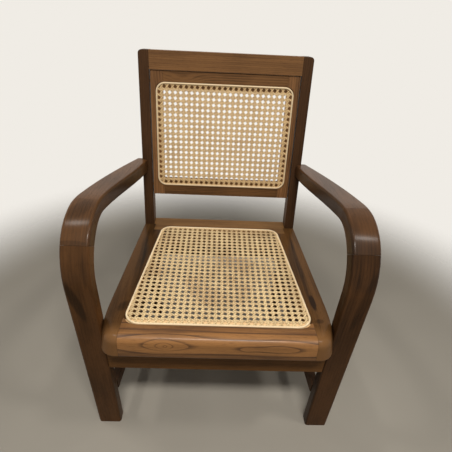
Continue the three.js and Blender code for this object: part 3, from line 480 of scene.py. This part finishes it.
def grain_on_leg(points):
    """Along the arm, round the bend and down the leg."""
    places, normals, run = bend_path()
    flat = points[:, 1:3]
    nearest = ((flat[:, None, :] - places[None]) ** 2).sum(2).argmin(1)
    offset = flat - places[nearest]
    normal = normals[nearest]
    depth = (offset * normal).sum(1)
    further = offset[:, 1] * normal[:, 0] - offset[:, 0] * normal[:, 1]
    return np.stack([-(run[nearest] + further), points[:, 0], depth], 1)


# Pieces from meshes


def mesh_points(node):
    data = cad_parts[node].data
    flat = np.empty(len(data.vertices) * 3)
    data.vertices.foreach_get("co", flat)
    return flat.reshape(-1, 3)


def give_vectors(mesh, name, values, domain="POINT"):
    attribute = mesh.attributes.new(name, "FLOAT_VECTOR", domain)
    attribute.data.foreach_set("vector", np.asarray(values, np.float32).ravel())


def give_shares(mesh, name, shares, domain="POINT"):
    give_vectors(mesh, name, np.repeat(np.asarray(shares)[:, None], 3, 1), domain)


def smooth_rounds(mesh, weld=False):
    """Faces outwards and smooth, with sharp edges only where two faces meet at a large angle."""
    work = bmesh.new()
    work.from_mesh(mesh)
    if weld:
        bmesh.ops.remove_doubles(work, verts=work.verts, dist=WELD)
    bmesh.ops.recalc_face_normals(work, faces=work.faces)
    for face in work.faces:
        face.smooth = True
    for edge in work.edges:
        edge.smooth = edge.calc_face_angle(0) < SHARP_ANGLE
    work.to_mesh(mesh)
    work.free()


def link(name, mesh, material, node):
    piece = bpy.data.objects.new(name, mesh)
    scene.collection.objects.link(piece)
    mesh.materials.append(material)
    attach(piece, "root")
    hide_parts(node)
    return piece


def board(node, material, grain):
    """A board with the frame's own shape, smooth over its rounds, with its grain laid in."""
    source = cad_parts[node].data
    mesh = bpy.data.meshes.new(node + "_board")
    corners = [v.co.copy() for v in source.vertices]
    mesh.from_pydata(corners, [], [list(p.vertices) for p in source.polygons])
    smooth_rounds(mesh, weld=True)
    points = np.array([v.co for v in mesh.vertices])
    give_vectors(mesh, "grain", grain(points))
    under_top = (points[:, 2] < SEAT_TOP - LEDGE_UNDER[0]) & (points[:, 2] > SEAT_TOP - LEDGE_UNDER[1])
    give_shares(mesh, "bare", under_top & (points[:, 1] > points[:, 1].max() - LEDGE_SPAN))
    # Faces that look inwards get the painted shade
    inwards = np.array([-math.copysign(1, p.center.x) * p.normal.x for p in mesh.polygons])
    give_shares(mesh, "painted_inner_shade", np.interp(inwards, FLANK_RANGE, (0, 1)), "FACE")
    piece = link(node + "_board", mesh, material, node)
    evened = piece.modifiers.new("even_normals", "WEIGHTED_NORMAL")
    evened.keep_sharp = True
    evened.weight = NORMAL_WEIGHT


# Tones of the boards, between the rings and in them
TONES = {
    "limb_left": (colour(92, 61, 34), colour(52, 34, 18)),
    "limb_right": (colour(86, 57, 33), colour(47, 30, 16)),
    "front": (colour(160, 111, 61), colour(84, 54, 28)),
    "side_left": (colour(85, 58, 32), colour(38, 25, 12)),
    "side_right": (colour(96, 66, 36), colour(41, 26, 13)),
    "rear": (colour(126, 92, 56), colour(76, 52, 31)),
    "top": (colour(124, 88, 54), colour(74, 50, 30)),
    "panel": (colour(118, 83, 50), colour(62, 41, 24)),
    "panel_low": (colour(108, 75, 44), colour(54, 36, 20)),
    "stile": (colour(134, 95, 60), colour(70, 47, 29)),
    "post": (colour(76, 52, 33), colour(43, 29, 18)),
    "apron": (colour(118, 80, 42), colour(52, 33, 16)),
}

# Front rail: two lenses, one with an eye, on a flat-cut nose
FRONT_FIGURE = {
    "middle": (0.014, 0.024),
    "ring": 0.019,
    "lenses": [
        (-0.1, 0.013, 0.118, 0.0265, 1.4),
        (-0.12, 0.013, 0.031, 0.0165, 1.15),
        (-0.109, 0.016, 0.011, 0.008, 1.3),
        (0.132, 0.018, 0.092, 0.0185, 1.75),
        (0.06, 0.02, 0.02, 0.009, 0.5),
    ],
    "line": (0.66, 0.95),
    "rings": 1.45,
    "streaks": 0.75,
    "mottle": 0.8,
    "tone_spots": [(0.0, 0.046, 1.0, 0.012, 0.0, 0.6)],
    "tone_across": (-0.02, -0.007, 0.42, 0.0),
    "bare": (colour(250, 218, 168), colour(206, 166, 114)),
    "rough": 0.43,
    "gloss": 0.2,
    "shine": 0.34,
}

# Arms, elbows and front legs
LIMB = {
    "ring": 0.007,
    "rings": 0.35,
    "streaks": 0.4,
    "mottle": 1.25,
    # painted shade on the inner faces
    "painted_inner_shade": 0.6,
    "rough": 0.27,
    "gloss": 0.2,
    "shine": 0.09,
}
LEFT_ARM = {**LIMB, "gloss": 0.17, "shine": 0.07}
RIGHT_ARM = {**LIMB, "gloss": 0.25, "shine": 0.12}
ELBOW = {**LIMB, "shine": 0.055}
LEG = {**LIMB, "rings": 0.3, "streaks": 0.3, "gloss": 0.1, "shine": 0.04}
RIGHT_JOINT = (-0.165, 0.275, 0.06, 0.045, 0.0, 0.5)  # runs on from the elbow into the leg
LEFT_ELBOW = {**ELBOW, "tone_spots": [
    (-0.06, -0.28, 0.03, 0.02, 0.4, 0.3),
    (-0.138, -0.285, 0.006, 0.03, 0.0, 0.4),
]}
RIGHT_ELBOW = {**ELBOW, "tone_spots": [
    (-0.07, 0.27, 0.03, 0.02, 0.3, 0.15),
    (-0.03, 0.26, 0.016, 0.012, 0.4, 0.18),
    RIGHT_JOINT,
]}
# The right leg's inner faces get much more painted shade than the left leg's
LEFT_LEG = {**LEG, "painted_inner_shade": 0.05, "tone_spots": [
    (-0.275, -0.289, 0.062, 0.012, -0.2, 0.75),
    (-0.29, -0.258, 0.09, 0.009, -0.1, -0.35),
    (-0.195, -0.262, 0.04, 0.006, 0.0, 0.25),
]}
RIGHT_LEG = {**LEG, "painted_inner_shade": 0.75, "tone_spots": [
    (-0.26, 0.29, 0.08, 0.01, 0.1, 0.4),
    (-0.3, 0.262, 0.14, 0.008, 0.05, 0.3),
    RIGHT_JOINT,
]}

# Side rails of the seat, with paler end grain at the front, lightened further as a painted highlight on the
# rounded front corners
QUIET = {"ring": 0.011, "rings": 0.4, "streaks": 0.5, "mottle": 1.1, "gloss": 0.2, "shine": 0.03}
SIDE = {**QUIET, "end": (SEAT_FRONT + 0.012, SEAT_FRONT + 0.05, colour(137, 98, 60))}
LEFT_SIDE = {**SIDE, "tone_spots": [
    (0.02, -0.224, 0.16, 0.008, 0.03, -0.45),
    (-0.02, -0.203, 0.15, 0.01, 0.0, 0.5),
    (-0.172, -0.212, 0.022, 0.016, 0.3, 0.5),
    (0.17, -0.2, 0.05, 0.02, 0.0, 0.3),
]}
RIGHT_SIDE = {**SIDE, "tone_spots": [
    (-0.05, 0.2225, 0.16, 0.0055, -0.066, -0.85),
    (-0.03, 0.208, 0.15, 0.006, -0.03, 0.4),
    (-0.145, 0.2185, 0.03, 0.0075, -0.05, 0.9),
    (-0.172, 0.231, 0.016, 0.005, -0.4, -0.8),
    (-0.205, 0.222, 0.008, 0.012, 0.3, 0.5),
]}

# Posts, aprons and stretchers have no polish
MATT = {"rings": 0.5, "streaks": 0.6, "gloss": 0.0, "shine": 0.08}
# Painted shade: the front apron darkens towards its top, under the seat's overhang
FRONT_APRON = {**MATT, "tone_across": (0.318, 0.345, -0.15, 0.75)}

# Boards of the back
TOP_RAIL = {"rings": 0.6, "streaks": 1.5, "shine": 0.12}
STILE = {"rings": 0.7, "shine": 0.12}
PANEL_RAIL = {"rings": 0.9, "shine": 0.12}
PANEL_TOP_RAIL = {
    **PANEL_RAIL,
    "ring": 0.006,
    "knots": [(-0.11, 0.806, 0.045, 0.014, 2.6)],
    "tone_spots": [(0.03, 0.815, 0.05, 0.012, 0.0, 0.3)],
}

# Node, tone, slot, grain and figure of each board. A board's place in the list shifts its waves.
BOARDS = [
    ("seat_front_rail", "front", "teak_light", grain_on_nose, FRONT_FIGURE),
    ("seat_rear_rail", "rear", "teak", grain_along_x, {**QUIET, "gloss": 0.06}),
    ("back_top_rail", "top", "teak", grain_along_x, TOP_RAIL),
    ("back_panel_top_rail", "panel", "teak", grain_along_x, PANEL_TOP_RAIL),
    ("back_panel_bottom_rail", "panel_low", "teak", grain_along_x, PANEL_RAIL),
    ("front_apron", "apron", "teak_dark", grain_along_x, FRONT_APRON),
    ("rear_apron", "post", "teak_dark", grain_along_x, MATT),
]
SIDES = {
    "left": (LEFT_ARM, LEFT_ELBOW, LEFT_LEG, LEFT_SIDE),
    "right": (RIGHT_ARM, RIGHT_ELBOW, RIGHT_LEG, RIGHT_SIDE),
}
for side_name, (arm, elbow, leg, seat_side) in SIDES.items():
    limb = "limb_" + side_name
    BOARDS += [
        ("armrest_" + side_name, limb, "teak", grain_on_leg, arm),
        ("arm_elbow_" + side_name, limb, "teak", grain_on_leg, elbow),
        ("front_leg_" + side_name, limb, "teak", grain_on_leg, leg),
        ("back_post_" + side_name, "post", "teak_dark", grain_up, MATT),
        ("back_panel_stile_" + side_name, "stile", "teak", grain_up, STILE),
        ("seat_side_rail_" + side_name, "side_" + side_name, "teak", grain_along_y, seat_side),
        ("side_apron_" + side_name, "post", "teak_dark", grain_along_y, MATT),
        ("side_stretcher_" + side_name, "post", "teak_dark", grain_along_y, MATT),
    ]
for seed, (node, tone, slot, grain, figure) in enumerate(BOARDS, 1):
    board(node, wood(node + "_teak", *TONES[tone], seed, **figure), grain)


# Cane outline in the plane of its sheet


def frame_of_sheet(node, lean):
    """Matrix from the plane of a cane sheet to the chair."""
    low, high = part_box(node)
    return Matrix.Translation((low + high) / 2) @ Matrix.Rotation(lean, 4, "X")


def crossing(first, second):
    """Point where two lines meet, each given by two of its points."""
    a, b = first
    c, d = second
    r, s = b - a, d - c
    t = (c - a).cross(s) / r.cross(s)
    return a + r * t


def straight_corners(node, to_chair):
    """Corners of the outline before it is rounded: front left, front right, rear right, rear left."""
    back = to_chair.inverted()
    flat = [(back @ Vector(p)).to_2d() for p in mesh_points(node)]
    hull = [flat[i] for i in convex_hull_2d(flat)]
    edges = [(hull[i], hull[(i + 1) % len(hull)]) for i in range(len(hull))]
    by_length = sorted(range(len(edges)), key=lambda i: -(edges[i][1] - edges[i][0]).length)
    straight = [edges[i] for i in sorted(by_length[:OUTLINE_SIDES])]
    corners = [crossing(straight[i - 1], straight[i]) for i in range(OUTLINE_SIDES)]
    return sorted(corners, key=lambda corner: math.atan2(corner.y, corner.x))


def rounded(corners, radii, inset):
    """Outline drawn in by inset, with round corners, anticlockwise."""
    lines = []
    for i, a in enumerate(corners):
        b = corners[(i + 1) % len(corners)]
        along = (b - a).normalized()
        inward = Vector((-along.y, along.x)) * inset
        lines.append((a + inward, b + inward))
    points = []
    for i, line in enumerate(lines):
        corner = crossing(lines[i - 1], line)
        before = (lines[i - 1][0] - corner).normalized()
        after = (line[1] - corner).normalized()
        half = before.angle(after) / 2
        radius = max(radii[i] - inset, LEAST_RADIUS)
        centre = corner + (before + after).normalized() * radius / math.sin(half)
        first = corner + before * radius / math.tan(half) - centre
        last = corner + after * radius / math.tan(half) - centre
        turn = -first.angle_signed(last)
        for step in range(CORNER_STEPS + 1):
            points.append(centre + Matrix.Rotation(turn * step / CORNER_STEPS, 2) @ first)
    return points


# Strands


class Weave:
    """Many strands gathered into one mesh."""

    def __init__(self, outline, to_chair, sag):
        self.outline = np.array([tuple(p) for p in outline])
        self.low = self.outline.min(0)
        self.high = self.outline.max(0)
        self.to_chair = np.array(to_chair)
        self.sag = sag
        self.points = []
        self.faces = []
        self.strand = []
        self.rise = []

    def clip(self, origin, direction):
        """Part of a line inside the outline, as distances along it."""
        first, last = -math.inf, math.inf
        for a, b in zip(self.outline, np.roll(self.outline, -1, 0)):
            inward = np.array([a[1] - b[1], b[0] - a[0]])
            rate = direction @ inward
            gap = (a - origin) @ inward
            if abs(rate) < 1e-12:
                if gap > 0:
                    return None
            elif rate > 0:
                first = max(first, gap / rate)
            else:
                last = min(last, gap / rate)
        return (first, last) if last - first > SHORTEST_STRAND else None

    def strand_along(self, origin, direction, stops, heights, width):
        """A flat strand from the outline's edge to its edge, lifted by heights at its stops."""
        span = self.clip(origin, direction)
        if span is None:
            return
        inside = (stops > span[0] + END_STRETCH) & (stops < span[1] - END_STRETCH)
        places = np.concatenate([[span[0]], stops[inside], [span[1]]])
        lifts = np.interp(places, stops, heights)
        lifts[0] *= END_LIFT
        lifts[-1] *= END_LIFT
        across = np.array([-direction[1], direction[0]])
        number = random.random()
        section = np.array(STRAND_SECTION)
        centre = origin + places[:, None] * direction
        ring = len(section)
        flat = centre[:, None, :] + across * section[None, :, :1] * width / 2
        height = lifts[:, None] + section[None, :, 1] * STRAND_THICKNESS / 2
        start = sum(len(p) for p in self.points)
        self.points.append(np.concatenate([flat, height[..., None]], 2).reshape(-1, 3))
        along = np.broadcast_to(places[:, None], height.shape)
        side = np.broadcast_to(section[None, :, 0], height.shape)
        self.strand.append(np.stack([along, side, np.full(height.shape, number)], 2).reshape(-1, 3))
        self.rise.append(np.broadcast_to(lifts[:, None] / PAIR_LIFT, height.shape).ravel())
        for row in range(len(places) - 1):
            base = start + row * ring
            for k in range(ring):
                after = (k + 1) % ring
                self.faces.append((base + k, base + after, base + ring + after, base + ring + k))
        self.faces.append(tuple(start + k for k in reversed(range(ring))))
        last = start + (len(places) - 1) * ring
        self.faces.append(tuple(last + k for k in range(ring)))

    def mesh(self, name):
        points = np.concatenate(self.points)
        middle = (self.low + self.high) / 2
        reach = (self.high - self.low) / 2
        away = np.clip(1 - ((points[:, :2] - middle) / reach) ** 2, 0, 1)
        points[:, 2] -= self.sag * away[:, 0] * away[:, 1]
        world = points @ self.to_chair[:3, :3].T + self.to_chair[:3, 3]
        mesh = bpy.data.meshes.new(name)
        mesh.from_pydata(world.tolist(), [], self.faces)
        mesh.polygons.foreach_set("use_smooth", [True] * len(mesh.polygons))
        give_vectors(mesh, "strand", np.concatenate(self.strand))
        give_shares(mesh, "rise", np.concatenate(self.rise))
        mesh.update()
        return mesh


def pair_places(low, high):
    """Middles of the pairs, a pitch apart, with a hole in the middle of the sheet."""
    first = math.floor(low / CANE_PITCH - 0.5)
    last = math.ceil(high / CANE_PITCH - 0.5)
    return [(k + 0.5) * CANE_PITCH for k in range(first, last + 1)]


def weave_pairs(weave):
    """Pairs of strands both ways, woven over and under each other where they cross."""
    columns = pair_places(weave.low[0], weave.high[0])
    rows = pair_places(weave.low[1], weave.high[1])
    level = PAIR_SLOPE * PAIR_SPREAD
    offsets = (-CANE_PITCH / 2, -level, -PAIR_SPREAD, PAIR_SPREAD, level)
    signs = (0, 0, -1, 1, 0)
    for places, others, upright in ((columns, rows, True), (rows, columns, False)):
        direction = np.array([0.0, 1.0] if upright else [1.0, 0.0])
        stops = np.array([place + offset for place in others for offset in offsets])
        for place in places:
            for half in (-1, 1):
                over = -half if upright else half
                lifts = np.tile(signs, len(others)) * PAIR_LIFT * over
                shift = place + half * PAIR_SPREAD
                origin = np.array([shift, 0.0] if upright else [0.0, shift])
                weave.strand_along(origin, direction, stops, lifts, STRAND_WIDTH)


def weave_diagonals(weave):
    """Single strands both ways across the corners. One way lies over the upright pairs, the other over the
    level pairs."""
    reach = weave.high[0] - weave.low[0] + weave.high[1] - weave.low[1]
    count = math.ceil(reach / CANE_PITCH)
    quarters = np.arange(-4 * count, 4 * count + 1)
    stops = quarters * CANE_PITCH / 4 * math.sqrt(2)
    wave = np.where(quarters % 2 == 1, 0, np.where(quarters % 4 == 2, 1, -1))
    for slope in (1, -1):
        direction = np.array([1.0, slope]) / math.sqrt(2)
        for k in range(-count, count):
            origin = np.array([0.0, (k + 0.5) * CANE_PITCH])
            weave.strand_along(origin, direction, stops, wave * slope * DIAGONAL_LIFT, DIAGONAL_WIDTH)


def beading(name, corners, radii, to_chair, material, node):
    """Half-round strip along the outline, its top proud of the wood."""
    middle = BEADING_WIDTH / 2
    profile = []
    for angle in np.linspace(0, math.pi, BEADING_STEPS):
        inset = middle - (middle - BEADING_GAP) * math.cos(angle)
        profile.append((inset, BEADING_PROUD * math.sin(angle)))
    profile += [(BEADING_WIDTH - BEADING_GAP, -BEADING_DEPTH), (BEADING_GAP, -BEADING_DEPTH)]
    rings = [rounded(corners, radii, inset) for inset, _ in profile]
    count, size = len(rings[0]), len(profile)
    points, values, faces = [], [], []
    run = 0.0
    for i in range(count):
        run += (rings[0][i] - rings[0][i - 1]).length
        for j, (inset, height) in enumerate(profile):
            place = rings[j][i]
            points.append(to_chair @ Vector((place.x, place.y, WOOD_FACE + height)))
            values.append((run, inset / middle - 1, 0.5))
            near, far = i * size, (i + 1) % count * size
            after = (j + 1) % size
            faces.append((near + j, near + after, far + after, far + j))
    mesh = bpy.data.meshes.new(name)
    mesh.from_pydata(points, [], faces)
    smooth_rounds(mesh)
    give_vectors(mesh, "strand", values)
    give_shares(mesh, "rise", np.ones(len(values)))
    link(name, mesh, material, node)


def cane(part, lean, radii, sag, straw, cream):
    """Woven sheet of the seat or the back, in two layers, and the beading round it."""
    node = part + "_cane"
    to_chair = frame_of_sheet(node, lean)
    corners = straight_corners(node + "_beading", to_chair)
    outline = rounded(corners, radii, CANE_UNDER_BEADING)
    for layer, fill in (("_pairs", weave_pairs), ("_diagonals", weave_diagonals)):
        weave = Weave(outline, to_chair, sag)
        fill(weave)
        link(node + layer, weave.mesh(node + layer), straw, node)
    beading(node + "_edge", corners, radii, to_chair, cream, node + "_beading")


SEAT_STRAW = rattan("cane_straw", colour(255, 231, 180), colour(142, 96, 48), 3)
BACK_STRAW = rattan("cane_back_straw", colour(250, 219, 164), colour(142, 98, 52), 5, blotches=0.1)
SEAT_CREAM = rattan("beading_cream", colour(244, 222, 184), colour(208, 174, 126), 9, marks=0.2)
BACK_CREAM = rattan("beading_back_cream", colour(228, 205, 168), colour(190, 157, 112), 9, marks=0.2)
cane("seat", 0.0, SEAT_BEADING_RADII, SEAT_SAG, SEAT_STRAW, SEAT_CREAM)
cane("back", math.pi / 2 - BACK_RECLINE, BACK_BEADING_RADII, 0.0, BACK_STRAW, BACK_CREAM)

# The joinery keeps the frame's shapes

JOINERY_TEAK = wood("joinery_teak", *TONES["rear"], 31, in_grain=False)
SCREW_STEEL = steel("screw_steel")
for name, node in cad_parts.items():
    if not node.hide_render:
        node.data.materials.clear()
        node.data.materials.append(SCREW_STEEL if "screw" in name else JOINERY_TEAK)

# Floor, which fades out into the background

FLOOR_HALF = 45
FADE_START = 0.85
FADE_END = 1.45
FLOOR_WAVES = (3, 3, 3)
FLOOR_ROUGHNESS = 0.9


def floor_finish():
    f = Nodes("floor_pale")
    place = f.object_place()
    spots = f.noise(place, FLOOR_WAVES)
    f.feed(f.shader.inputs["Base Color"], f.mix(spots, colour(165, 159, 148), colour(173, 167, 156)))
    clear = f.add("ShaderNodeBsdfTransparent")
    blend = f.add("ShaderNodeMixShader")
    apart = f.add("ShaderNodeVectorMath", operation="LENGTH")
    f.feed(apart.inputs[0], place)
    f.feed(blend.inputs[0], f.ramp(apart.outputs["Value"], FADE_START, FADE_END, 0.0, 1.0))
    f.feed(blend.inputs[1], f.shader.outputs[0])
    f.feed(blend.inputs[2], clear.outputs[0])
    f.feed(f.tree.nodes["Material Output"].inputs["Surface"], blend.outputs[0])
    return f.finish(Roughness=FLOOR_ROUGHNESS)


floor_mesh = bpy.data.meshes.new("floor")
floor_corners = [(x * FLOOR_HALF, y * FLOOR_HALF, 0) for x, y in ((-1, -1), (1, -1), (1, 1), (-1, 1))]
floor_mesh.from_pydata(floor_corners, [], [(0, 1, 2, 3)])
floor_mesh.materials.append(floor_finish())
floor = bpy.data.objects.new("floor", floor_mesh)
scene.collection.objects.link(floor)

# Background: a dim one lights the chair, a pale one is seen

AMBIENT_TINT = (1, 0.95, 0.88, 1)
AMBIENT_STRENGTH = 0.062
world = bpy.data.worlds.new("studio")
scene.world = world
world.use_nodes = True
tree = world.node_tree
dim = tree.nodes["Background"]
dim.inputs["Color"].default_value = AMBIENT_TINT
dim.inputs["Strength"].default_value = AMBIENT_STRENGTH
pale = tree.nodes.new("ShaderNodeBackground")
pale.inputs["Color"].default_value = colour(240, 236, 229)
pale.inputs["Strength"].default_value = 1
path = tree.nodes.new("ShaderNodeLightPath")
seen = path.outputs["Is Camera Ray"]
for kind in ("Is Glossy Ray", "Is Transmission Ray"):
    either = tree.nodes.new("ShaderNodeMath")
    either.operation = "MAXIMUM"
    tree.links.new(seen, either.inputs[0])
    tree.links.new(path.outputs[kind], either.inputs[1])
    seen = either.outputs[0]
mixed = tree.nodes.new("ShaderNodeMixShader")
tree.links.new(seen, mixed.inputs[0])
tree.links.new(dim.outputs[0], mixed.inputs[1])
tree.links.new(pale.outputs[0], mixed.inputs[2])
tree.links.new(mixed.outputs[0], tree.nodes["World Output"].inputs["Surface"])

# Lamps

WARM = (1, 0.965, 0.91)
WHITE = (1, 1, 1)
REAR_SPREAD = math.radians(32)


def lamp(name, place, aim, size, watts, tint=WARM, spread=math.pi, in_polish=True):
    """A lamp at a place, turned to its aim. in_polish says whether polish shows it."""
    light = bpy.data.lights.new(name, "AREA")
    light.shape = "RECTANGLE"
    light.size, light.size_y = size
    light.energy = watts
    light.color = tint
    light.spread = spread
    piece = bpy.data.objects.new(name, light)
    scene.collection.objects.link(piece)
    piece.location = place
    piece.rotation_euler = (Vector(aim) - Vector(place)).to_track_quat("-Z", "Y").to_euler()
    piece.visible_glossy = in_polish


lamp("key", (0.1, -1.45, 2.45), (0, 0, 0.3), (0.9, 0.25), 44)
lamp("top_left", (-0.9, -0.17, 2.5), (-0.28, -0.19, 0.6), (0.3, 0.16), 6)
lamp("top_right", (0.97, -0.69, 2.44), (0.27, -0.2, 0.6), (0.3, 0.16), 8)
lamp("fill", (-1.2, -2.4, 1.3), (0, 0, 0.4), (1.8, 1.8), 2, WHITE)
for side in (-1, 1):
    place = (side * 1.9, 1.4, 1.0)
    lamp("rear", place, (0, 0.05, 0.8), (0.9, 0.3), 2.5, WARM, REAR_SPREAD, in_polish=False)

# Camera: its place, and its own right, up and forward directions

CAMERA_PLACE = (-0.01777, -0.85227, 1.03602)
CAMERA_RIGHT = (0.99897236, -0.00815654, 0.04458347)
CAMERA_UP = (-0.03365014, 0.52549521, 0.85013084)
CAMERA_AHEAD = (0.03036251, 0.85075746, -0.52468072)
camera_data = bpy.data.cameras.new("camera")
camera_data.sensor_width = 36
camera_data.lens = 32.32
camera_data.shift_y = 0.0011
camera = bpy.data.objects.new("camera", camera_data)
turn = Matrix((CAMERA_RIGHT, CAMERA_UP, -Vector(CAMERA_AHEAD))).transposed().to_4x4()
camera.matrix_world = Matrix.Translation(CAMERA_PLACE) @ turn
scene.collection.objects.link(camera)
scene.camera = camera
scene.view_settings.view_transform = "Standard"
